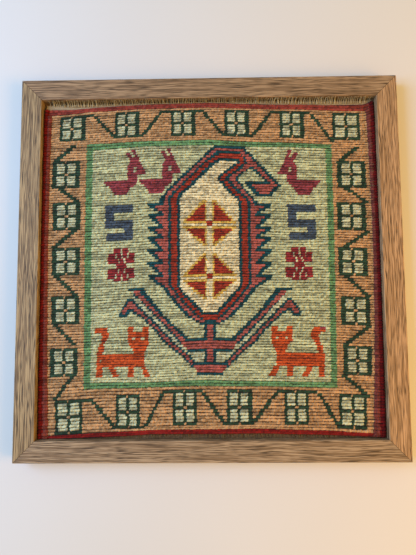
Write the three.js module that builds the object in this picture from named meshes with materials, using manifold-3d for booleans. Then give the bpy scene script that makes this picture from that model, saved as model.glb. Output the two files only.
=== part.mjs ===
// A small flat-woven kilim laid in a square wood-finish picture frame.
// Units are millimetres and +Z is up. The frame lies on its back on z = 0, the origin is at
// the centre of its back, +X runs to the picture's right and +Y to its top.

import * as THREE from 'three';
import { mergeVertices } from 'three/addons/utils/BufferGeometryUtils.js';
import Module from 'manifold-3d';

const wasm = await Module();
wasm.setup();

// Frame moulding
const frameSide = 440;
const railWidth = 24;
const railDepth = 20;
const rebateWidth = 4;
const rebateDepth = 9.5;
const edgeRound = 0.9;
const mitreGap = 0.3;

// Backing board behind the lip
const boardThickness = 2.5;
const touchGap = 0.3;

// Kilim lying on the board, inside the lip
const kilimThickness = 3;
const kilimSidePlay = 0.6;
const kilimSteps = 24;
const cornerInset = 4.5;

// Cut warp ends along the kilim's top and bottom
const stripWidth = 1;
const stripHeight = 1.8;
const stripSteps = 20;
const lockCount = 76;
const lockWidth = 2.3;
const lockThickness = 0.8;
const lockTaper = 0.55;
const lockLean = 0.7;

// Values that follow from the ones above
const halfSide = frameSide / 2;
const halfOpening = halfSide - railWidth;
const halfRebate = halfOpening + rebateWidth;
const boardFront = rebateDepth - touchGap;
const kilimBack = boardFront + touchGap;
const kilimHalfWidth = halfOpening - kilimSidePlay;

const railMaterial = { color: 0x9c8468, roughness: 0.6, metalness: 0 };
const boardMaterial = { color: 0x7a5a3a, roughness: 0.85, metalness: 0 };
const kilimMaterial = { color: 0xb9ad80, roughness: 0.95, metalness: 0 };
const warpMaterial = { color: 0xc9b98a, roughness: 0.95, metalness: 0 };

// Height of each woven edge above the origin, at its left end, middle and right end.
// The web was pulled in on the loom, so both ends bow.
const edges = {
  top: { left: 192.0, middle: 193.5, right: 192.4 },
  bottom: { left: -193.6, middle: -190.0, right: -192.6 },
};

// Soft swells in the web: where the middle of each is, how far it reaches and how high it stands
const swells = [
  { x: -150, y: 60, reach: 52, rise: 0.7 },
  { x: -158, y: -120, reach: 44, rise: 0.6 },
  { x: 148, y: 20, reach: 55, rise: 0.7 },
  { x: 20, y: 140, reach: 60, rise: 0.5 },
  { x: -40, y: -60, reach: 75, rise: 0.5 },
  { x: 90, y: -150, reach: 50, rise: 0.6 },
];

// Rows of warp ends: where each starts and stops, and the height its tips stand to
const warpRows = [
  { name: 'warp_ends_top', edge: edges.top, side: 1, from: -188, to: 189, tip: railDepth + 0.5 },
  { name: 'warp_ends_bottom', edge: edges.bottom, side: -1, from: -184, to: 186, tip: 14.6 },
];

function part(name, geometry, material) {
  const mesh = new THREE.Mesh(geometry, new THREE.MeshStandardMaterial(material));
  mesh.name = name;
  return mesh;
}

// Moves every point of a geometry to where place(x, y, z) says
function reshape(geometry, place) {
  const points = geometry.attributes.position;
  for (let i = 0; i < points.count; i += 1) {
    const [x, y, z] = place(points.getX(i), points.getY(i), points.getZ(i));
    points.setXYZ(i, x, y, z);
  }
  geometry.computeVertexNormals();
  return geometry;
}

// A smooth bow through three heights, for u from -1 at the left to 1 at the right
function bow(edge, u) {
  const tilt = (edge.right - edge.left) / 2;
  const sag = (edge.left + edge.right) / 2 - edge.middle;
  return edge.middle + u * tilt + u * u * sag;
}

// One rail: an L-section with a rounded front, its ends cut at 45 degrees
function railSection() {
  const section = new THREE.Shape();
  const front = railDepth - edgeRound;
  section.moveTo(0, 0);
  section.lineTo(railWidth - rebateWidth, 0);
  section.lineTo(railWidth - rebateWidth, rebateDepth);
  section.lineTo(railWidth, rebateDepth);
  section.absarc(railWidth - edgeRound, front, edgeRound, 0, Math.PI / 2, false);
  section.absarc(edgeRound, front, edgeRound, Math.PI / 2, Math.PI, false);
  section.closePath();
  return section;
}

function mitredRail() {
  const options = { depth: 1, steps: 1, curveSegments: 4, bevelEnabled: false };
  const bar = new THREE.ExtrudeGeometry(railSection(), options);
  const mitrePlay = mitreGap * Math.SQRT1_2;
  return reshape(bar, (inward, height, along) => {
    const reach = halfSide - inward - mitrePlay;
    return [(2 * along - 1) * reach, inward - halfSide, height];
  });
}

function addRails(group) {
  ['rail_bottom', 'rail_right', 'rail_top', 'rail_left'].forEach((name, turn) => {
    const rail = part(name, mitredRail(), railMaterial);
    rail.rotation.z = turn * Math.PI / 2;
    group.add(rail);
  });
}

function addBoard(group) {
  const side = 2 * (halfRebate - touchGap);
  const board = part('backing_board', new THREE.BoxGeometry(side, side, boardThickness), boardMaterial);
  board.position.z = boardFront - boardThickness / 2;
  group.add(board);
}

// Crowds evenly spaced steps towards the edges, where the outline rounds
function crowd(s) {
  return Math.sign(s) * (1 - (1 - Math.abs(s)) ** 1.5);
}

function swellAt(x, y) {
  return swells.reduce((sum, swell) => {
    const away = Math.hypot(x - swell.x, y - swell.y) / swell.reach;
    return sum + swell.rise * Math.exp(-away * away);
  }, 0);
}

// The kilim: one flat sheet with bowed ends, rounded top corners and low swells on its face
function kilimSheet() {
  const sheet = new THREE.BoxGeometry(2, 2, 2, kilimSteps, kilimSteps, 1);
  return reshape(sheet, (s, t, side) => {
    const u = crowd(s);
    const v = crowd(t);
    const corner = v > 0 ? cornerInset * (Math.abs(u) * v) ** 30 : 0;
    const x = u * (kilimHalfWidth - corner);
    const low = bow(edges.bottom, u);
    const high = bow(edges.top, u) - corner / 2;
    const y = low + (high - low) * (v + 1) / 2;
    const z = side < 0 ? kilimBack : kilimBack + kilimThickness + swellAt(x, y);
    return [x, y, z];
  });
}

function solidOf(geometry) {
  const bare = geometry.clone();
  bare.deleteAttribute('normal');
  bare.deleteAttribute('uv');
  const merged = mergeVertices(bare, 1e-4);
  const vertProperties = Float32Array.from(merged.attributes.position.array);
  const triVerts = Uint32Array.from(merged.index.array);
  return new wasm.Manifold(new wasm.Mesh({ numProp: 3, vertProperties, triVerts }));
}

function geometryOf(solid) {
  const mesh = solid.getMesh();
  const geometry = new THREE.BufferGeometry();
  geometry.setAttribute('position', new THREE.BufferAttribute(mesh.vertProperties, mesh.numProp));
  geometry.setIndex(new THREE.BufferAttribute(mesh.triVerts, 1));
  geometry.computeVertexNormals();
  return geometry;
}

// The narrow strip that a row of warp ends grows from, just outside the woven edge
function stripGeometry(row) {
  const strip = new THREE.BoxGeometry(1, 1, 1, stripSteps, 1, 1);
  return reshape(strip, (s, across, up) => {
    const x = row.from + (row.to - row.from) * (s + 0.5);
    const start = bow(row.edge, x / kilimHalfWidth) + row.side * touchGap;
    return [x, start + row.side * stripWidth / 2 + across * stripWidth, kilimBack + (up + 0.5) * stripHeight];
  });
}

// One lock of warp ends: out of the strip, over to the rail's inner wall and up along it
function lockGeometry(row, index) {
  const pitch = (row.to - row.from) / lockCount;
  const x = row.from + (index + 0.5) * pitch;
  const root = row.side * (touchGap + stripWidth / 2) + bow(row.edge, x / kilimHalfWidth);
  const wall = row.side * (halfOpening - touchGap - lockThickness);
  const lean = lockLean * Math.sin(index * 2.4);
  const path = new THREE.QuadraticBezierCurve3(
    new THREE.Vector3(x, root, kilimBack + stripHeight / 2),
    new THREE.Vector3(x, wall, kilimBack + stripHeight / 2),
    new THREE.Vector3(x + lean, wall, row.tip - 0.8 * Math.abs(Math.sin(index * 1.7))),
  );
  const lock = new THREE.BoxGeometry(1, 1, 1, 1, 1, 2);
  return reshape(lock, (across, thick, along) => {
    const t = along + 0.5;
    const middle = path.getPoint(t);
    const heading = path.getTangent(t);
    const slim = 1 - (1 - lockTaper) * t;
    return [
      middle.x + across * lockWidth * slim,
      middle.y + heading.z * thick * lockThickness * slim,
      middle.z - heading.y * thick * lockThickness * slim,
    ];
  });
}

function addWarpEnds(group) {
  for (const row of warpRows) {
    let ends = solidOf(stripGeometry(row));
    for (let index = 0; index < lockCount; index += 1) {
      ends = ends.add(solidOf(lockGeometry(row, index)));
    }
    group.add(part(row.name, geometryOf(ends), warpMaterial));
  }
}

const framedKilim = new THREE.Group();
addRails(framedKilim);
addBoard(framedKilim);
framedKilim.add(part('kilim', kilimSheet(), kilimMaterial));
addWarpEnds(framedKilim);

export default framedKilim;
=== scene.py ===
# A small soumak kilim in a square wood-finish picture frame, lying on its back.
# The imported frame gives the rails, the board and the place of the woven web.
import math

import bmesh
import bpy
import numpy as np
from mathutils import Euler, Matrix, Vector


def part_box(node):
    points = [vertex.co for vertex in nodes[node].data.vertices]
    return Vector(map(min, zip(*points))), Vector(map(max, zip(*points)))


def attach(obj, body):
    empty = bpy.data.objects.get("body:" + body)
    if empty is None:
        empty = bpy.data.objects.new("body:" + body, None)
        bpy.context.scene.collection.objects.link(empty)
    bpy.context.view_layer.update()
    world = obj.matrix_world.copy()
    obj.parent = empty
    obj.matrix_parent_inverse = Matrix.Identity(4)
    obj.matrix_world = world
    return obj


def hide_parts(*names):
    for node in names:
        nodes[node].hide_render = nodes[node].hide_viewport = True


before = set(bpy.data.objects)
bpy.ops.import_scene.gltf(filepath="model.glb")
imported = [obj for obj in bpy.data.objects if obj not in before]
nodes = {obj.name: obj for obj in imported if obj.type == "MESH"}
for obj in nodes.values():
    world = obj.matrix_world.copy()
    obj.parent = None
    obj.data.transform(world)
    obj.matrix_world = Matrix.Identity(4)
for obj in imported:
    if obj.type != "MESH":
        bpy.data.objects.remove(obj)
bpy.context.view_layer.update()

mm = 0.001
scene = bpy.context.scene

# Camera
# It stands about half a metre over the picture, a little below its middle, and looks down
# almost square to the glassless front, as the photograph does.
camera_data = bpy.data.cameras.new("camera")
camera_data.lens = 28.3
camera_data.sensor_width = 36.0
camera_data.clip_start = 0.02
camera = bpy.data.objects.new("camera", camera_data)
camera.location = (0.0050, -0.0548, 0.5130)
camera.rotation_euler = Euler((math.radians(4.532), math.radians(0.828), math.radians(-0.444)))
scene.collection.objects.link(camera)
scene.camera = camera


# Rails
# Four lengths of moulding with an oak-grain wrap, mitred and glued at the corners. The printed
# grain runs along each length, with dark pore streaks and paler bands.
def linear(code, alpha=1.0):
    """An sRGB hex colour as the linear values that shaders take"""
    levels = [int(code[start:start + 2], 16) / 255 for start in (1, 3, 5)]
    curve = [
        level / 12.92 if level <= 0.04045 else ((level + 0.055) / 1.055) ** 2.4
        for level in levels]
    return (*curve, alpha)


def add_node(tree, kind, inputs=None, **settings):
    """Adds a node. An input takes a value, or a link when it is given another node's output."""
    new = tree.nodes.new(kind)
    for name, value in settings.items():
        setattr(new, name, value)
    for name, value in (inputs or {}).items():
        if isinstance(value, bpy.types.NodeSocket):
            tree.links.new(value, new.inputs[name])
        else:
            new.inputs[name].default_value = value
    return new


def new_material(name):
    material = bpy.data.materials.new(name)
    material.use_nodes = True
    tree = material.node_tree
    tree.nodes.clear()
    return material, tree


def finish_material(tree, surface):
    add_node(tree, "ShaderNodeOutputMaterial", {"Surface": surface.outputs["BSDF"]})


def oak_wrap(name, turn, slide, light, middle, dark):
    """Satin printed oak foil. Its paler bands are about 1 mm wide and 70 mm long, its dark
    pores 0.7 mm by 20 mm. Both run along the rail and wander a little, as grain does."""
    material, tree = new_material(name)
    place = add_node(tree, "ShaderNodeTexCoord").outputs["Object"]
    turned = add_node(tree, "ShaderNodeMapping", {
        "Vector": place,
        "Rotation": (0, 0, turn),
        "Location": slide,
    }).outputs["Vector"]
    wander = add_node(tree, "ShaderNodeTexNoise", {"Vector": turned, "Scale": 14.0, "Detail": 2.0})
    bent = add_node(tree, "ShaderNodeVectorMath", {
        0: wander.outputs["Color"],
        1: (0.0, 6 * mm, 3 * mm),
    }, operation="MULTIPLY").outputs["Vector"]
    path = add_node(tree, "ShaderNodeVectorMath", {
        0: turned,
        1: bent,
    }, operation="ADD").outputs["Vector"]
    broad = add_node(tree, "ShaderNodeMapping", {"Vector": path, "Scale": (14.0, 1000.0, 860.0)})
    bands = add_node(tree, "ShaderNodeTexNoise", {
        "Vector": broad.outputs["Vector"],
        "Scale": 1.0,
        "Detail": 1.0,
        "Roughness": 0.5,
    }).outputs["Fac"]
    fine = add_node(tree, "ShaderNodeMapping", {"Vector": path, "Scale": (46.0, 1500.0, 1300.0)})
    pores = add_node(tree, "ShaderNodeTexNoise", {
        "Vector": fine.outputs["Vector"],
        "Scale": 1.0,
        "Detail": 1.0,
        "Roughness": 0.6,
    }).outputs["Fac"]
    band_share = add_node(tree, "ShaderNodeMapRange", {
        "Value": bands,
        "From Min": 0.42,
        "From Max": 0.58,
    }).outputs["Result"]
    ground = add_node(tree, "ShaderNodeMix", {
        0: band_share,
        6: linear(middle),
        7: linear(light),
    }, data_type="RGBA").outputs[2]
    pore_share = add_node(tree, "ShaderNodeMapRange", {
        "Value": pores,
        "From Min": 0.49,
        "From Max": 0.66,
    }).outputs["Result"]
    colour = add_node(tree, "ShaderNodeMix", {
        0: pore_share,
        6: ground,
        7: linear(dark),
    }, data_type="RGBA").outputs[2]
    relief = add_node(tree, "ShaderNodeBump", {
        "Height": pore_share,
        "Strength": 0.35,
        "Distance": 0.12 * mm,
    }, invert=True).outputs["Normal"]
    gloss = add_node(tree, "ShaderNodeMapRange", {
        "Value": bands,
        "To Min": 0.60,
        "To Max": 0.78,
    }).outputs["Result"]
    finish_material(tree, add_node(tree, "ShaderNodeBsdfPrincipled", {
        "Base Color": colour,
        "Roughness": gloss,
        "Normal": relief,
        "IOR": 1.46,
    }))
    return material


# Each rail's turn, its own stretch of the printed grain, and its light, middle and dark tones. The
# tones differ from rail to rail as painted light: the right rail's are paler and warmer, the top rail's
# darker.
rail_finishes_with_painted_light = {
    "bottom": (0.0, (0.11, 0.0, 0.0), "#ad9270", "#806546", "#45321d"),
    "right": (math.pi / 2, (0.43, 0.2, 0.0), "#c2996d", "#906c45", "#4b351d"),
    "top": (0.0, (0.71, 0.4, 0.0), "#a98964", "#7d6041", "#433019"),
    "left": (math.pi / 2, (0.27, 0.6, 0.0), "#b29568", "#7f6542", "#44331d"),
}
# Painted light: one foil, given a paler, warmer tone on the right rail and a darker one on the top rail
for place_name, finish in rail_finishes_with_painted_light.items():
    rail_data = nodes["rail_" + place_name].data
    rail_data.materials.clear()
    rail_data.materials.append(oak_wrap("oak_wrap_" + place_name, *finish))

# Backing board
# A sheet of hardboard let into the rails from behind, which carries the kilim. Its pressed
# wood fibre shows as brown flecks on the back and in the top corners.
# Matt, with flecks about 1.5 mm long and broader clouds
board_finish, tree = new_material("pressed_hardboard")
place = add_node(tree, "ShaderNodeTexCoord").outputs["Object"]
flecks = add_node(tree, "ShaderNodeTexNoise", {
    "Vector": place,
    "Scale": 700.0,
    "Detail": 4.0,
}).outputs["Fac"]
clouds = add_node(tree, "ShaderNodeTexNoise", {
    "Vector": place,
    "Scale": 30.0,
    "Detail": 2.0,
}).outputs["Fac"]
mottle = add_node(tree, "ShaderNodeMath", {0: flecks, 1: clouds}, operation="MULTIPLY").outputs["Value"]
share = add_node(tree, "ShaderNodeMapRange", {
    "Value": mottle,
    "From Min": 0.16,
    "From Max": 0.34,
}).outputs["Result"]
colour = add_node(tree, "ShaderNodeMix", {
    0: share,
    6: linear("#5f452c"),
    7: linear("#8a6a47"),
}, data_type="RGBA").outputs[2]
relief = add_node(tree, "ShaderNodeBump", {"Height": flecks, "Strength": 0.3, "Distance": 0.1 * mm})
finish_material(tree, add_node(tree, "ShaderNodeBsdfPrincipled", {
    "Base Color": colour,
    "Roughness": 0.85,
    "Normal": relief.outputs["Normal"],
}))
nodes["backing_board"].data.materials.clear()
nodes["backing_board"].data.materials.append(board_finish)

# Pattern
# The design is charted as a weaver counts it, in stitches across and rows down from the top
# left corner. Each motif is a list of yarns and outlines, and a later one covers an earlier.
# A counted stitch is two wraps wide, and colours may change after either.
stitch_columns = 114
stitch_rows = 128
middle_stitch = stitch_columns // 2
wraps = 2
chart = np.full((stitch_rows, stitch_columns * wraps), "sage", dtype="<U12")
middle_row, middle_column = np.indices(chart.shape) + 0.5
middle_column = middle_column / wraps


def block(left, top, right, bottom):
    return [(left, top), (right, top), (right, bottom), (left, bottom)]


def stroke(start, end, width=1.1):
    """A slanting line of stitches, the same number of them in each row"""
    half = width / 2
    (left, top), (right, bottom) = start, end
    return [(left - half, top), (left + half, top), (right + half, bottom), (right - half, bottom)]


def weave(motif, across=0, down=0, mirror=None):
    """Works a motif into the chart, moved by whole stitches or mirrored about a column"""
    for yarn, outline in motif:
        placed = [(column + across, row + down) for column, row in outline]
        if mirror is not None:
            placed = [(2 * mirror - column, row) for column, row in placed]
        inside = np.zeros(chart.shape, bool)
        for (column, row), (next_column, next_row) in zip(placed, placed[1:] + placed[:1]):
            if row == next_row:
                continue
            passes = (row > middle_row) != (next_row > middle_row)
            meets = column + (middle_row - row) * (next_column - column) / (next_row - row)
            inside ^= passes & (middle_column < meets)
        chart[inside] = yarn


def both_sides(outline):
    """An outline given down its left side, closed by its own mirror image on the right"""
    return outline + [(stitch_columns - column, row) for column, row in reversed(outline)]


# Selvedges, end stripes, border ground, guard stripe and field
weave([
    ("madder", block(0, 0, 114, 2)),
    ("orange", block(3, 2, 111, 128)),
    ("garnet", block(3, 126, 111, 128)),
    ("selvedge", block(1.5, 2, 3, 128)),
    ("selvedge", block(111, 2, 112.5, 128)),
    ("cord", block(0, 0, 1.5, 128)),
    ("cord", block(112.5, 0, 114, 128)),
    ("guard", block(15, 16, 99, 112)),
    ("sage", block(17, 18, 97, 110)),
])


def window(left_bar, pane, right_bar):
    """A window of the border, eleven rows high: four panes between dark bars of uneven width"""
    middle = left_bar + pane
    far = middle + 1 + pane
    return [
        ("outline", block(0, 0, far + right_bar, 11)),
        ("pale", block(left_bar, 1, middle, 5)),
        ("pale", block(middle + 1, 1, far, 5)),
        ("pale", block(left_bar, 6, middle, 10)),
        ("pale", block(middle + 1, 6, far, 10)),
        ("orange", block(middle, 5, middle + 1, 6)),
        ("orange", block(middle, 0, middle + 0.5, 1)),
        ("orange", block(middle + 0.5, 10, middle + 1, 11)),
    ]


side_window = window(1.5, 2.5, 1.5)
slim_window = window(1, 2.5, 1)
end_window = window(1, 2.5, 1.5)
corner_window = window(1, 3, 1)
windows = [
    (side_window, [
        (4, 22), (4.5, 39), (4.5, 57), (4.5, 76), (4, 96),
        (100.5, 23), (100, 40), (100, 58), (100.5, 77), (101, 96),
    ]),
    (slim_window, [(25.5, 114), (44.5, 113), (81.5, 113)]),
    (end_window, [(6, 3), (24.5, 3), (44, 3), (62.5, 3), (81.5, 3), (62.5, 113)]),
    (corner_window, [(99.5, 3), (5.5, 115), (99.5, 114)]),
]

# The vine runs from window to window, and turns along a bar at the border's inner or outer
# edge. Where it slants it is wider by its slope, so that each row meets the next.
vine_width = 0.8
vine_bars = [
    (6, 3, 17), (25, 13, 34.5), (41, 3, 54.5), (61.5, 13, 72.5), (79, 3, 92),
    (6, 115, 17), (25, 124, 35), (41, 113, 54.5), (62, 123, 71.5), (79, 113, 92.5),
]
vine_strokes = [
    ((17.5, 4), (25.0, 14)), ((34.5, 13), (41.0, 3)), ((54.5, 3), (61.5, 13)),
    ((72.5, 13), (79.0, 3)), ((92.5, 4), (99.5, 15)),
    ((11.0, 16), (5.0, 22)), ((6.5, 33), (12.5, 39)), ((12.0, 50), (5.0, 57)),
    ((5.5, 68), (12.5, 76)), ((5.5, 87), (12.0, 95)), ((11.5, 107), (5.5, 115)),
    ((107.5, 17), (101.5, 23)), ((103.0, 34), (109.5, 40)), ((109.5, 51), (102.0, 58)),
    ((102.0, 69), (109.5, 77)), ((109.5, 88), (101.5, 96)), ((101.0, 107), (109.0, 115)),
    ((17.0, 115), (25.5, 125)), ((35.5, 124), (41.0, 114)), ((54.5, 114), (62.0, 124)),
    ((71.5, 123), (79.0, 114)), ((93.0, 114), (99.5, 125)),
]
weave([("outline", block(left, row, right, row + 1)) for left, row, right in vine_bars])
for start, end in vine_strokes:
    slope = abs((end[0] - start[0]) / (end[1] - start[1]))
    weave([("outline", stroke(start, end, vine_width + slope))])
for motif, places in windows:
    for across, down in places:
        weave(motif, across, down)

# Three birds with forked crests
bird = [
    ("crimson", [
        (20.5, 31), (29, 31), (29, 26), (30, 23.5), (31, 22.5), (32.75, 22.5), (34, 25.5),
        (35.5, 29), (32.75, 29), (32.5, 32), (30.5, 34), (28.5, 37), (25, 37), (23, 34),
    ]),
    ("crimson", stroke((29.0, 20), (31.0, 24))),
    ("crimson", stroke((31.0, 19), (32.75, 23))),
    ("pale", block(31, 26, 32, 28)),
]
weave(bird)
weave(bird, across=12)
weave(bird, mirror=middle_stitch + 1)

# Two hooks
hook = [
    ("navy", block(21.5, 41, 31, 44)),
    ("navy", block(21.5, 44, 24.5, 47)),
    ("navy", block(21.5, 47, 31, 50)),
    ("navy", block(28, 50, 31, 52)),
    ("navy", block(22, 52, 31, 55)),
]
weave(hook)
weave(hook, across=62)

# Two eight-petalled rosettes, each of an upper half and its mirror image below
rosette_middle = 65
petals = [
    ("rosette", block(22.5, 60, 31.5, 64)),
    ("pale", block(25, 60, 25.5, 62)),
    ("pale", block(27, 60, 27.5, 62)),
    ("pale", block(29, 60, 29.5, 62)),
    ("pale", block(26, 62, 26.5, 64)),
    ("pale", block(28, 62, 28.5, 64)),
]
lower_petals = [
    (yarn, [(column, 2 * rosette_middle - row) for column, row in outline])
    for yarn, outline in petals]
rosette = petals + lower_petals + [
    ("rosette", block(25.5, 64, 29, 66)),
    ("rosette", block(24.5, 58, 27, 60)),
    ("rosette", block(27.5, 58, 29.5, 60)),
    ("rosette", block(24.5, 70, 27, 71)),
    ("rosette", block(27.5, 70, 29.5, 71)),
]
weave(rosette)
weave(rosette, across=60)

# Two cats that face each other. The left has a light fleck, the right a crimson tail tip.
cat = [
    ("flame", block(18.5, 89, 22.5, 91)),
    ("flame", [
        (20.5, 91), (22.5, 90), (23.5, 92), (22.5, 94), (21.5, 96), (21, 100), (19, 100),
        (19.5, 97), (20.5, 94), (21, 92.5),
    ]),
    ("flame", block(19, 99.5, 34.5, 104)),
    ("flame", [(30, 95), (36.5, 95), (35, 98.5), (35, 104), (29, 104), (30, 99.5), (31.75, 98.5)]),
    ("flame", block(29.5, 91, 36.5, 95)),
    ("flame", block(29.5, 89, 31.5, 92)),
    ("flame", block(34.5, 89, 36.5, 92)),
    ("pale", block(31, 93, 32, 94)),
    ("pale", block(34, 93, 35, 94)),
    ("flame", block(19, 104, 21, 108.5)),
    ("flame", [(23, 104), (25, 104), (26.5, 108), (24.5, 108)]),
    ("flame", block(29.5, 104, 31.5, 108)),
    ("flame", [(34, 104), (35.5, 104), (37.5, 108), (35, 108)]),
]
weave(cat + [("pale", block(20, 101, 20.5, 102))])
weave(cat + [("crimson", block(18.5, 89, 20.5, 90))], mirror=middle_stitch)

# Two bent arms that carry the medallion, each of an upper and a lower strand
arm = [
    ("teal", [
        (29.5, 78), (31, 78), (32.5, 80), (37, 85), (41, 90), (45, 95), (50, 100), (53, 104), (51, 105),
        (47, 100), (41.5, 95), (38, 90), (33.5, 85), (30.5, 83), (29, 85), (26.5, 85), (26.5, 83),
        (28.5, 80),
    ]),
    ("rose", [
        (29.5, 79.5), (31, 79.5), (35.5, 85), (40, 90), (44, 95), (49, 100), (52, 104), (51, 104),
        (48, 100), (42.5, 95), (39, 90), (34.5, 85), (31, 82), (29.5, 82), (28.5, 84), (27.5, 84),
        (27.5, 82.5), (29, 80.5),
    ]),
    ("teal", [
        (29.5, 74), (34.5, 74), (42, 85), (46.5, 90), (50, 94), (50, 98), (46.5, 95), (42.5, 90),
        (38.5, 85), (33.5, 79), (31.5, 77), (31.5, 75.5), (29.5, 75.5),
    ]),
    ("rose", [
        (31.5, 75), (33, 75), (40.5, 85), (45, 90), (49, 95), (49, 98), (47.5, 95), (43.5, 90),
        (39.5, 85), (31.5, 76),
    ]),
    ("pale", [
        (31.5, 77), (33, 78), (38.5, 85), (42.5, 90), (46.5, 95), (50.5, 99), (51, 100.5), (45, 95),
        (41, 90), (37, 85), (32.5, 80), (31.5, 79),
    ]),
]
weave(arm)
weave(arm, mirror=middle_stitch)

# Stem, crossbar and foot
weave([
    ("teal", block(49.5, 94, 64.5, 99.5)),
    ("teal", block(55, 88, 59, 104)),
    ("rose", block(56, 88, 58, 104)),
    ("rose", block(49, 95, 65, 98)),
    ("pale", both_sides([(50.5, 99.5), (52.5, 103)])),
    ("teal", block(55, 98, 59, 104)),
    ("rose", block(56, 98, 58, 104)),
    ("teal", block(51, 103, 63, 104)),
    ("rose", both_sides([(51, 104), (53, 107)])),
    ("teal", block(52.5, 107, 61.5, 108)),
])

# The boteh: nested bands round a cream pod that curls over at its tip, with seven teeth on
# each side. Every band shares its mirrored lower part and has its own curl.
tooth_rows = [41, 45, 50, 54, 59, 64, 69, 74]
teal_teeth = []
rose_teeth = []
for row, next_row in zip(tooth_rows, tooth_rows[1:]):
    last = row == tooth_rows[-2]
    teal_teeth += [(40, row), (36, row), (36, row + 1), (41 if last else 40, next_row)]
    rose_teeth += [(41.5, row + 1), (38, row + 1), (42.5 if last else 41.5, next_row)]
boteh = [
    ("teal", {
        "curl": [(59, 18), (69, 18), (81.5, 33.5), (78, 38), (73, 38), (69, 32.5), (77, 32.5),
                 (71, 26.5), (66.5, 31), (73, 40)],
        "shoulder": [(52.5, 25), (47.5, 30), (43, 35), (41, 38), (40, 40)],
        "side": teal_teeth + [(45, 80), (49, 85), (54.5, 89.5)],
    }),
    ("rose", {
        "curl": [(59.5, 19), (68.5, 19), (80, 33.5), (77, 37), (74.5, 37), (71.5, 33.5), (79, 33.5),
                 (71.5, 25.5), (65.5, 31), (68.5, 35), (70.5, 38), (72.5, 41)],
        "shoulder": [(53.5, 25), (49, 30), (44.5, 35), (42, 38)],
        "side": rose_teeth + [(46.5, 80), (50.5, 85), (54.5, 88.5)],
    }),
    ("teal", {
        "curl": [(60, 20), (67.5, 20), (70.5, 24), (68, 27), (63.5, 31), (67, 35), (69.5, 38),
                 (71, 40)],
        "shoulder": [(55, 25), (50.5, 30), (46, 35), (43, 38.5)],
        "side": [(43, 73), (48, 80), (52, 85), (55.5, 88)],
    }),
    ("red", {
        "curl": [(60.5, 21.5), (68, 21.5), (69.5, 24), (66.5, 27), (62, 31), (65.5, 35), (68, 38),
                 (70, 40)],
        "shoulder": [(56, 25), (51.5, 30), (47, 35), (44, 39)],
        "side": [(44, 73), (49, 80), (53, 85), (55, 87)],
    }),
    ("teal", {
        "curl": [(61, 23), (67, 23), (68, 24), (65, 27), (60.5, 31), (64, 35), (66.5, 38),
                 (68, 40)],
        "shoulder": [(57.5, 25), (53.5, 30), (49, 35), (46, 38)],
        "side": [(46, 74), (50.5, 80), (54.5, 85)],
    }),
    ("cream", {
        "curl": [(61.5, 24), (67, 24), (63.5, 27), (59.5, 31), (62.5, 35), (65, 38), (67, 40)],
        "shoulder": [(59.5, 25), (55, 30), (50.5, 35), (47.5, 38)],
        "side": [(47, 40), (47, 74), (52, 80), (55, 84)],
    }),
]
for yarn, band in boteh:
    right_side = [(stitch_columns - column, row) for column, row in band["side"]]
    left_side = list(reversed(band["side"])) + list(reversed(band["shoulder"]))
    weave([(yarn, band["curl"] + right_side + left_side)])

# Two crosses inside the pod, each of four stepped quarters round a red middle
quarters = [
    ("yellow", [(56, 40), (55, 40), (47.5, 49), (56, 49)]),
    ("yellow", [(56, 58), (55, 58), (47.5, 50), (56, 50)]),
    ("red", [(55.5, 41), (49, 48), (55.5, 48)]),
    ("red", [(55.5, 57), (49, 51), (55.5, 51)]),
]
for down in (0, 21):
    weave(quarters, down=down)
    weave(quarters, down=down, mirror=middle_stitch)
    weave([("red", block(56, 48, 58, 50))], down=down)

# The dye of each yarn. The cord's colour is darker than its dye, as painted shade from the rails' inner
# walls.
dyes_and_painted_shade = {
    "sage": "#b3b58a",
    "pale": "#b5b691",
    "cream": "#d4c69a",
    "orange": "#b38b5f",
    "outline": "#2a412e",
    "guard": "#638a5a",
    "crimson": "#883c40",
    "navy": "#434f5a",
    "rosette": "#852c2d",
    "flame": "#b74e23",
    "teal": "#164347",
    "rose": "#9e5449",
    "red": "#933422",
    "yellow": "#caa54c",
    "madder": "#85392d",
    "selvedge": "#77392f",
    # Painted shade: the cord is darker than its dye, where the rails' walls shade it
    "cord": "#650b08",
    "garnet": "#7a1a14",
}

# Ground web
# The warp and its hidden ground weft: a thin cloth that lies on the board and carries the
# wrapped stitches. It is pulled in along its ends, and swells a little where it isn't pinned.
web_low, web_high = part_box("kilim")
web_back = web_low.z / mm
web_side = web_high.x / mm
web_face = 11.35
corner_inset = 1.4
corner_sharpness = 30

# Where a band of the pattern starts across the kilim: its stitch, and its place in mm at the
# top, middle and bottom
columns = {
    0: (-195.2, -195.2, -195.2),
    3: (-187.3, -188.6, -183.8),
    15: (-143.7, -145.0, -143.0),
    17: (-136.7, -136.9, -135.8),
    97: (136.9, 137.2, 134.8),
    99: (144.0, 144.2, 141.6),
    111: (186.4, 189.2, 181.7),
    114: (195.2, 195.2, 195.2),
}

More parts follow.
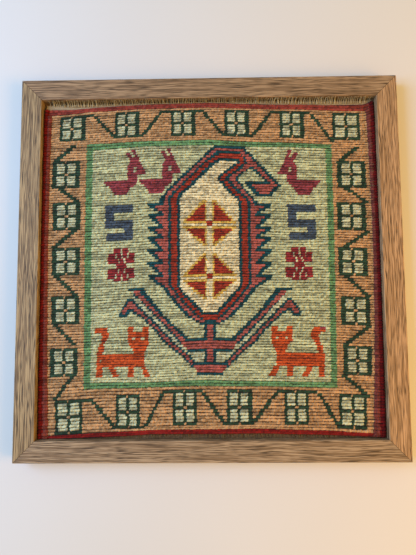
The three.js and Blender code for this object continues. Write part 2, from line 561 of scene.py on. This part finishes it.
# How a row dips and rises, since the weft was beaten in unevenly: its height in mm at each of
# these stitches across. The first and last rows are the web's own two ends.
row_marks = (0, 10, 16, 28, 37, 57, 74, 97, 110, 114)
rows = {
    -1: (192.6, 193.0, 193.3, 193.8, 194.2, 194.9, 194.4, 193.4, 193.0, 194.6),
    0: (187.2, 187.0, 188.8, 191.4, 192.3, 193.6, 191.2, 188.9, 189.1, 193.0),
    2: (179.6, 181.4, 183.8, 186.0, 186.7, 187.9, 185.3, 182.8, 181.5, 185.0),
    3: (176.5, 178.6, 181.0, 183.6, 184.3, 185.4, 183.6, 180.6, 179.1, 181.6),
    16: (141.4, 143.1, 144.1, 146.0, 147.3, 148.1, 144.8, 141.3, 139.4, 139.0),
    18: (135.0, 136.0, 136.6, 138.8, 140.7, 141.6, 138.8, 136.7, 134.9, 134.4),
    110: (-136.4, -135.6, -135.3, -134.4, -133.7, -132.0, -133.2, -134.4, -135.6, -135.9),
    112: (-143.0, -142.6, -142.2, -140.9, -139.5, -138.7, -139.1, -140.6, -141.5, -141.7),
    124: (-185.2, -184.6, -183.7, -181.6, -182.2, -180.9, -180.5, -180.3, -181.4, -182.0),
    126: (-193.0, -192.2, -191.0, -188.2, -186.5, -185.9, -185.2, -187.4, -189.6, -189.9),
    128: (-195.3, -195.3, -195.1, -193.1, -191.3, -191.0, -190.5, -192.4, -194.4, -194.9),
}

# Soft swells: where the middle of each is, how far it reaches and how high it stands, in mm
swells = [
    {"x": -150, "y": 60, "reach": 52, "rise": 0.7},
    {"x": -158, "y": -120, "reach": 44, "rise": 0.6},
    {"x": 148, "y": 20, "reach": 55, "rise": 0.7},
    {"x": 20, "y": 140, "reach": 60, "rise": 0.5},
    {"x": -40, "y": -60, "reach": 75, "rise": 0.5},
    {"x": 90, "y": -150, "reach": 50, "rise": 0.6},
]


def on_web(column, row):
    """Where a count of stitches across and down lies, in mm"""
    across = 2 * column / stitch_columns - 1
    down = 2 * row / stitch_rows - 1
    top, middle, bottom = (
        np.interp(column, list(columns), places) for places in zip(*columns.values()))
    x = middle + down * (bottom - top) / 2 + down ** 2 * ((top + bottom) / 2 - middle)
    lines = np.array([np.interp(row, list(rows), heights) for heights in zip(*rows.values())])
    place = np.interp(column, row_marks, range(len(row_marks)))
    before = np.minimum(place.astype(int), len(row_marks) - 2)
    share = place - before
    y = ((1 - share) * np.take_along_axis(lines, before[None], 0)[0]
         + share * np.take_along_axis(lines, before[None] + 1, 0)[0])
    corner = corner_inset * np.abs(across * np.minimum(down, 0)) ** corner_sharpness
    return x - np.sign(across) * corner, y


def swell_at(x, y):
    """How high the web stands above its flat face, in mm"""
    total = np.zeros_like(x)
    for swell in swells:
        away = np.hypot(x - swell["x"], y - swell["y"]) / swell["reach"]
        total += swell["rise"] * np.exp(-away ** 2)
    return total


# One cell for each wrap, with an extra row for the undyed band above the first
web_mesh = bmesh.new()
bmesh.ops.create_grid(
    web_mesh, x_segments=stitch_columns * wraps, y_segments=stitch_rows + 1, size=0.5)
grid_places = np.array([point.co for point in web_mesh.verts])
grid_columns = (grid_places[:, 0] + 0.5) * stitch_columns
grid_rows = (0.5 - grid_places[:, 1]) * (stitch_rows + 1) - 1
web_x, web_y = on_web(grid_columns, grid_rows)
web_z = web_face + swell_at(web_x, web_y)
for point, x, y, z in zip(web_mesh.verts, web_x, web_y, web_z):
    point.co = (x * mm, y * mm, z * mm)

# Its rim goes straight down to the board, where a flat back closes it
rim = [edge for edge in web_mesh.edges if edge.is_boundary]
below = {}
for point in (point for edge in rim for point in edge.verts):
    if point not in below:
        below[point] = web_mesh.verts.new((point.co.x, point.co.y, web_back * mm))
for start, end in (edge.verts for edge in rim):
    web_mesh.faces.new((start, end, below[end], below[start]))
bmesh.ops.holes_fill(web_mesh, edges=[edge for edge in web_mesh.edges if edge.is_boundary])
bmesh.ops.recalc_face_normals(web_mesh, faces=web_mesh.faces)
web_data = bpy.data.meshes.new("ground_web")
web_mesh.to_mesh(web_data)
web_mesh.free()
ground_web = bpy.data.objects.new("ground_web", web_data)
scene.collection.objects.link(ground_web)

# Each cell lies in the shade of one wrap, and is painted with that shade: a deep tone of its yarn. The
# end band past the first row stays undyed.
painted_shade_depth = 0.17
painted_shade_power = 1.5
undyed = (0.38, 0.28, 0.15, 1.0)
painted_shade_colours = np.tile(undyed, (len(web_data.polygons), 1))
for face in web_data.polygons:
    corners = list(face.vertices)
    if len(corners) == 4 and max(corners) < len(grid_rows):
        row = int(grid_rows[corners].mean() // 1)
        wrap = int(grid_columns[corners].mean() * wraps)
        if row >= 0:
            # Painted shade: the yarn's colour, darkened and deepened, stands in for the shade between
            # the wraps
            dye = np.array(linear(dyes_and_painted_shade[chart[row, wrap]])[:3])
            painted_shade_colours[face.index, :3] = painted_shade_depth * dye ** painted_shade_power
painted_shade_layer = web_data.attributes.new("painted_gap_shade", "FLOAT_COLOR", "FACE")
painted_shade_layer.data.foreach_set("color", painted_shade_colours.ravel())

# The painted shade of each cell, mottled by a plain weave with specks of fibre. Its ribs are drawn 1.6
# mm apart, coarser than the real ground weft, which would be too fine to show.
web_finish, tree = new_material("plain_woven_wool_ground")
place = add_node(tree, "ShaderNodeTexCoord").outputs["Object"]
painted_gap_shade = add_node(tree, "ShaderNodeAttribute", attribute_name="painted_gap_shade").outputs["Color"]
ribs = add_node(tree, "ShaderNodeTexWave", {
    "Vector": place,
    "Scale": 200.0,
    "Distortion": 1.5,
    "Detail": 1.0,
    "Detail Scale": 3.0,
}, wave_type="BANDS", bands_direction="Y").outputs["Fac"]
specks = add_node(tree, "ShaderNodeTexNoise", {
    "Vector": place,
    "Scale": 900.0,
    "Detail": 3.0,
}).outputs["Fac"]
mottle = add_node(tree, "ShaderNodeMath", {0: ribs, 1: specks}, operation="MULTIPLY").outputs["Value"]
mottled = add_node(tree, "ShaderNodeMapRange", {
    "Value": mottle,
    "To Min": 0.55,
    "To Max": 1.9,
}).outputs["Result"]
colour = add_node(tree, "ShaderNodeVectorMath", {0: painted_gap_shade, "Scale": mottled}, operation="SCALE")
relief = add_node(tree, "ShaderNodeBump", {"Height": mottle, "Strength": 0.6, "Distance": 0.3 * mm})
finish_material(tree, add_node(tree, "ShaderNodeBsdfPrincipled", {
    "Base Color": colour.outputs["Vector"],
    "Roughness": 0.95,
    "Normal": relief.outputs["Normal"],
}))
web_data.materials.append(web_finish)
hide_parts("kilim")
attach(ground_web, "root")

# Wrapped stitches
# Soumak: a strand of soft two-ply wool is carried over four warps and back under two, over
# and over, so each wrap lies on the web as a plump slanted grain that overlaps the next. The
# wraps of a stitch are pulled unevenly, so the shade between the rows comes and goes.
# Lengths and heights are in mm, widths in rows and the slant in degrees.
wrap_half_length = 2.15
wrap_half_width = 0.50
wrap_half_height = 1.15
wrap_seat = 0.05
wrap_slant = 14
wrap_dip = 0.35
draw = np.random.default_rng(41)


def template(shape):
    """The points and three-cornered faces of a small shape, which is then freed"""
    bmesh.ops.triangulate(shape, faces=shape.faces)
    points = np.array([point.co for point in shape.verts])
    faces = np.array([[corner.index for corner in face.verts] for face in shape.faces])
    shape.free()
    return points, faces


def joined_copies(name, points, faces, flat, shades):
    """One piece of many copies: points[copy, corner] in mm, each copy with a shade of its own"""
    copies, corners = points.shape[:2]
    all_faces = (faces[None] + corners * np.arange(copies)[:, None, None]).reshape(-1, 3)
    mesh = bpy.data.meshes.new(name)
    mesh.vertices.add(copies * corners)
    mesh.vertices.foreach_set("co", (points * mm).ravel())
    mesh.loops.add(all_faces.size)
    mesh.loops.foreach_set("vertex_index", all_faces.ravel())
    mesh.polygons.add(len(all_faces))
    mesh.polygons.foreach_set("loop_start", np.arange(0, all_faces.size, 3))
    mesh.polygons.foreach_set("use_smooth", np.ones(len(all_faces), bool))
    mesh.update(calc_edges=True)
    shade = mesh.attributes.new("shade", "FLOAT", "POINT")
    shade.data.foreach_set("value", np.repeat(shades, corners))
    strand_map = mesh.uv_layers.new(name="strand")
    strand_map.data.foreach_set("uv", np.tile(flat[faces.ravel()], (copies, 1)).ravel())
    mesh.validate()
    piece = bpy.data.objects.new(name, mesh)
    scene.collection.objects.link(piece)
    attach(piece, "root")
    return piece


grain = bmesh.new()
bmesh.ops.create_uvsphere(grain, u_segments=6, v_segments=3, radius=1.0)
lengthways = Matrix.Rotation(math.pi / 2, 3, "Y")
bmesh.ops.rotate(grain, cent=(0, 0, 0), matrix=lengthways, verts=grain.verts)
grain_points, grain_faces = template(grain)
grain_flat = (grain_points[:, :2] + 1) / 2


def smooth_waves(spread_across, spread_down, count=7):
    """Gentle unevenness over the whole chart, of about unit size, from a few crossing waves"""
    total = np.zeros(chart.shape)
    for _ in range(count):
        turns_across, turns_down = draw.normal(0, 1, 2) / (spread_across, spread_down)
        start = draw.uniform(0, 2 * math.pi)
        total += np.sin(middle_column * turns_across + middle_row * turns_down + start)
    return total / math.sqrt(count / 2)


# Each row starts a little aside of the last, and no wrap sits quite in line with its row
row_start = draw.uniform(-0.13, 0.13, (stitch_rows, 1))
centre_column = np.clip(
    middle_column + row_start + draw.normal(0, 0.05, chart.shape), 0.5, stitch_columns - 0.5)
centre_row = (middle_row + 0.15 * smooth_waves(5, 6) + 0.05 * smooth_waves(1.2, 0.5)
              + draw.normal(0, 0.035, chart.shape))
centre_x, centre_y = on_web(centre_column, np.clip(centre_row, 0.4, stitch_rows - 0.4))
ahead_x, ahead_y = on_web(centre_column + 0.5, centre_row)
behind_x, behind_y = on_web(centre_column - 0.5, centre_row)
above_y = on_web(centre_column, middle_row - 0.5)[1]
below_y = on_web(centre_column, middle_row + 0.5)[1]
row_turn = np.arctan2(ahead_y - behind_y, ahead_x - behind_x)
turn = row_turn + np.radians(wrap_slant * draw.normal(1, 0.3, chart.shape))

# Two or three wraps in turn are tight, then slack, so the shade between the rows is in dashes
change_chance = 0.40
slack_thickness = 1.07
tight_loss = 0.25
changes = np.cumsum(draw.uniform(0, 1, chart.shape) < change_chance, axis=1)
tight = (changes + draw.integers(0, 2, (stitch_rows, 1))) % 2
thickness = (slack_thickness - tight_loss * tight + draw.normal(0, 0.04, chart.shape)
             + 0.05 * smooth_waves(1.4, 0.5))
length = wrap_half_length * draw.normal(1, 0.06, chart.shape)
height = wrap_half_height * (0.4 + 0.6 * thickness)
centre_z = web_face + wrap_seat + swell_at(centre_x, centre_y)

# The selvedges are two full cords each side, which stand higher towards the rail. They and the
# end stripes are wrapped so closely that no web shows.
cord_width = 1.5
cord_plumpness = 1.6
cord_rise = 0.8
edge_rise = 1.6
edge_fall = 1.9
close_width = 1.25
from_edge = np.minimum(middle_column, stitch_columns - middle_column)
corded = np.isin(chart, ("selvedge", "cord"))
close = corded | np.isin(chart, ("madder", "garnet"))
row_width = wrap_half_width * (above_y - below_y)
width = np.where(close, close_width * row_width, row_width * thickness)
height = height * np.where(corded, cord_plumpness, 1.0)
round_cord = np.abs(np.sin(math.pi * from_edge / cord_width))
centre_z += np.where(corded, cord_rise * (round_cord + edge_rise - from_edge / edge_fall), 0)

run, across, up = grain_points.T
forward = length[..., None] * run
sideways = width[..., None] * across
cosine, sine = np.cos(turn)[..., None], np.sin(turn)[..., None]
stitch_points = np.stack([
    centre_x[..., None] + forward * cosine - sideways * sine,
    centre_y[..., None] + forward * sine + sideways * cosine,
    centre_z[..., None] + height[..., None] * up - wrap_dip * run ** 2,
], -1)

# Uneven dye: in long waves along the rows, from stitch to stitch and from wrap to wrap
stitch_draw = np.repeat(draw.normal(0, 1, (stitch_rows, stitch_columns)), wraps, axis=1)
stitch_shade = (0.5 + 0.10 * smooth_waves(6, 0.5) + 0.17 * stitch_draw
                + 0.08 * draw.normal(0, 1, chart.shape))
stitch_shade = np.clip(stitch_shade, 0, 1)


def wool(name, dye, lustre=0.03, spread=0.45):
    """Two-ply yarn: matt and soft, its dye uneven from stitch to stitch and along a row. Its
    fuzz is drawn 0.6 mm wide, coarser than real fibre, which would be too fine to show."""
    light = [level * (1 + spread) for level in linear(dye)[:3]] + [1]
    dark = [level * (1 - spread) for level in linear(dye)[:3]] + [1]
    material, tree = new_material(name)
    place = add_node(tree, "ShaderNodeTexCoord").outputs["Object"]
    strand = add_node(tree, "ShaderNodeUVMap", uv_map="strand").outputs["UV"]
    shade = add_node(tree, "ShaderNodeAttribute", attribute_name="shade").outputs["Fac"]
    streaks = add_node(tree, "ShaderNodeMapping", {"Vector": place, "Scale": (22.0, 260.0, 1.0)})
    abrash = add_node(tree, "ShaderNodeTexNoise", {
        "Vector": streaks.outputs["Vector"],
        "Scale": 1.0,
        "Detail": 2.0,
    }).outputs["Fac"]
    fuzz = add_node(tree, "ShaderNodeTexNoise", {
        "Vector": place,
        "Scale": 1600.0,
        "Detail": 3.0,
    }).outputs["Fac"]
    turned = add_node(tree, "ShaderNodeMapping", {"Vector": strand, "Scale": (1.9, 1.0, 1.0)})
    ply = add_node(tree, "ShaderNodeTexWave", {
        "Vector": turned.outputs["Vector"],
        "Scale": 1.0,
        "Distortion": 0.6,
    }, wave_type="BANDS", bands_direction="DIAGONAL").outputs["Fac"]
    uneven = add_node(tree, "ShaderNodeMath", {0: abrash, 1: shade}, operation="ADD").outputs["Value"]
    fibrous = add_node(tree, "ShaderNodeMath", {0: fuzz, 1: uneven}, operation="ADD").outputs["Value"]
    share = add_node(tree, "ShaderNodeMapRange", {
        "Value": fibrous,
        "From Min": 1.1,
        "From Max": 1.9,
    }).outputs["Result"]
    colour = add_node(tree, "ShaderNodeMix", {
        0: share,
        6: dark,
        7: light,
    }, data_type="RGBA").outputs[2]
    raised = add_node(tree, "ShaderNodeMath", {0: ply, 1: fuzz}, operation="ADD").outputs["Value"]
    relief = add_node(tree, "ShaderNodeBump", {
        "Height": raised,
        "Strength": 0.5,
        "Distance": 0.25 * mm,
    }).outputs["Normal"]
    finish_material(tree, add_node(tree, "ShaderNodeBsdfPrincipled", {
        "Base Color": colour,
        "Roughness": 0.95,
        "Sheen Weight": lustre,
        "Sheen Roughness": 0.5,
        "Normal": relief,
        "IOR": 1.28,
    }))
    return material


for yarn, dye in dyes_and_painted_shade.items():
    chosen = chart == yarn
    piece = joined_copies(
        "stitches_" + yarn, stitch_points[chosen], grain_faces, grain_flat, stitch_shade[chosen])
    piece.data.materials.append(wool(yarn + "_wool", dye))

# Warp ends
# The cut cotton warps past the first and last rows, two or three together in short tufts that
# the rails press up against their inner walls.
rail_wall = -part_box("rail_left")[1].x / mm
path_steps = 5


def upright_strand(segments, root_radius, tip_radius):
    """A tapering strand one unit high, cut into steps: its points, faces and flat coordinates"""
    strand = bmesh.new()
    bmesh.ops.create_cone(
        strand, cap_ends=True, segments=segments, radius1=root_radius, radius2=tip_radius,
        depth=1.0, matrix=Matrix.Translation((0, 0, 0.5)))
    sides = [edge for edge in strand.edges if abs(edge.verts[0].co.z - edge.verts[1].co.z) > 0.5]
    bmesh.ops.subdivide_edges(strand, edges=sides, cuts=path_steps - 1)
    points, faces = template(strand)
    return points, faces, np.stack([points[:, 2], points[:, 0]], -1)


def along_path(points, root, bend, tip, thickness):
    """Copies of an upright shape laid along curves from root through bend to tip, in mm. Each is
    turned to face aside from one fixed direction, which no strand runs along."""
    t = points[:, 2][None, :, None]
    root, bend, tip = (spot[:, None, :] for spot in (root, bend, tip))
    middle = (1 - t) ** 2 * root + 2 * t * (1 - t) * bend + t ** 2 * tip
    heading = (1 - t) * (bend - root) + t * (tip - bend)
    heading = heading / np.linalg.norm(heading, axis=-1, keepdims=True)
    aside = np.cross(heading, np.array([0.31, 0.17, -0.93]))
    aside = aside / np.linalg.norm(aside, axis=-1, keepdims=True)
    across = np.cross(heading, aside)
    size = thickness[:, None, None]
    section_x, section_y = points[:, 0][None, :, None], points[:, 1][None, :, None]
    return middle + size * (section_x * aside + section_y * across)


# Where each side's tufts leave the web, as rows at these places across, and how high they rise
row_places = (-190, -150, 0, 190)
tuft_points, tuft_faces, tuft_flat = upright_strand(5, 0.62, 0.30)
cotton = wool("undyed_cotton_warp", "#a8966a", lustre=0.15)
# Painted shade: the same cotton warp painted darker, for the tufts behind the upper ones and for the
# lower ones, where the rails shade them
painted_shade_cotton = wool("cotton_warp_painted_shade", "#66532e", lustre=0.05)
warp_sides = [
    {"node": "warp_ends_top", "name": "upper_tufts", "finish": cotton,
     "rows": (-0.85, -0.35, -0.2, -0.2), "wall": rail_wall - 0.9,
     "from": -187, "to": 189, "pitch": 2.1, "rise": 8.0, "root": 2.8},
    {"node": "warp_ends_top", "name": "upper_shaded_tufts", "finish": painted_shade_cotton,
     "rows": (-1, -1, -1, -1), "wall": rail_wall - 0.6,
     "from": -188, "to": 189, "pitch": 1.5, "rise": 7.0, "root": 1.1},
    {"node": "warp_ends_bottom", "name": "lower_tufts", "finish": painted_shade_cotton,
     "rows": (128, 128, 128, 128), "wall": 0.7 - rail_wall,
     "from": -150, "to": 186, "pitch": 2.1, "rise": 3.6, "root": 1.1},
]
for side in warp_sides:
    count = int((side["to"] - side["from"]) / side["pitch"])
    x = np.linspace(side["from"], side["to"], count) + draw.normal(0, 0.4, count)
    start_row = np.interp(x, row_places, side["rows"])
    edge_y = on_web((x + web_side) / (2 * web_side) * stitch_columns, start_row)[1]
    wall_y = np.full(count, side["wall"])
    rise = side["rise"] * draw.uniform(0.72, 1.0, count)
    root_z = web_back + side["root"]
    root = np.stack([x, edge_y, np.full(count, root_z)], -1)
    bend = np.stack([x + draw.normal(0, 0.3, count), wall_y, root_z + 0.15 * rise], -1)
    tip = np.stack([x + draw.normal(0, 0.7, count), wall_y, root_z + rise], -1)
    points = along_path(tuft_points, root, bend, tip, draw.uniform(0.45, 1.0, count))
    shades = draw.uniform(0.2, 0.9, count)
    piece = joined_copies(side["name"], points, tuft_faces, tuft_flat, shades)
    piece.data.materials.append(side["finish"])
    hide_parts(side["node"])

# Loose fibres
# Single pale fibres that have worked out of the warp ends and the right selvedge. They lie
# over the red stripe and the edge of the upper rail in shallow curls. They are drawn 0.2 mm
# thick, coarser than real ones, which would be too fine to show.
fibre_points, fibre_faces, fibre_flat = upright_strand(3, 0.12, 0.08)
upper_count = 150
side_count = 16
count = upper_count + side_count
upper_edge = 194.4
selvedge_top = 13.8
root = np.concatenate([
    np.stack([
        draw.uniform(-186, 188, upper_count),
        np.full(upper_count, upper_edge),
        draw.uniform(13, 17, upper_count),
    ], -1),
    np.stack([
        draw.uniform(186, 189, side_count),
        draw.uniform(20, 140, side_count),
        np.full(side_count, selvedge_top),
    ], -1),
])
reach = draw.normal(0, 1, (count, 3))
reach[:upper_count] = reach[:upper_count] * (2.6, 0.5, 0.4) + (0, 0.5, 2.5)
reach[upper_count:] = reach[upper_count:] * (0.5, 1.0, 0.2) + (5.0, 0, 0.2)
lift = np.abs(draw.normal(0.8, 0.6, (count, 1))) * (0, 0, 1)
bend = root + 0.5 * reach + lift
points = along_path(fibre_points, root, bend, root + reach, draw.uniform(0.6, 1.2, count))
shades = draw.uniform(0.4, 1.0, count)
loose_fibres = joined_copies("loose_fibres", points, fibre_faces, fibre_flat, shades)
loose_fibres.data.materials.append(cotton)

# Floor
# A pale painted surface that the picture lies on, smooth and without a pattern.
floor_mesh = bmesh.new()
bmesh.ops.create_grid(floor_mesh, x_segments=1, y_segments=1, size=3.0)
floor_data = bpy.data.meshes.new("floor")
floor_mesh.to_mesh(floor_data)
floor_mesh.free()
floor = bpy.data.objects.new("floor", floor_data)
scene.collection.objects.link(floor)
paint, tree = new_material("pale_matt_paint")
place = add_node(tree, "ShaderNodeTexCoord").outputs["Object"]
clouds = add_node(tree, "ShaderNodeTexNoise", {
    "Vector": place,
    "Scale": 3.0,
    "Detail": 2.0,
}).outputs["Fac"]
colour = add_node(tree, "ShaderNodeMix", {
    0: clouds,
    6: linear("#d6d2ca"),
    7: linear("#e0dcd5"),
}, data_type="RGBA").outputs[2]
finish_material(tree, add_node(tree, "ShaderNodeBsdfPrincipled", {
    "Base Color": colour,
    "Roughness": 0.8,
}))
floor_data.materials.append(paint)

# Lights
# A cool window to the left and a warm lamp to the lower right, both broad and soft.
lamps = [
    {"name": "window", "place": (-0.95, 0.15, 0.80), "size": 0.8, "watts": 19.0, "tint": "#95bfff"},
    {"name": "lamp", "place": (1.0, -0.30, 0.75), "size": 0.7, "watts": 12.4, "tint": "#ffb230"},
]
for lamp in lamps:
    light_data = bpy.data.lights.new(lamp["name"], "AREA")
    light_data.shape = "SQUARE"
    light_data.size = lamp["size"]
    light_data.energy = lamp["watts"]
    light_data.color = linear(lamp["tint"])[:3]
    light = bpy.data.objects.new(lamp["name"], light_data)
    light.location = lamp["place"]
    light.rotation_euler = (-Vector(lamp["place"])).to_track_quat("-Z", "Y").to_euler()
    scene.collection.objects.link(light)
world = bpy.data.worlds.new("room")
world.use_nodes = True
room_light = world.node_tree.nodes["Background"]
room_light.inputs["Color"].default_value = linear("#fffcd2")
room_light.inputs["Strength"].default_value = 0.52
scene.world = world
scene.view_settings.view_transform = "Standard"
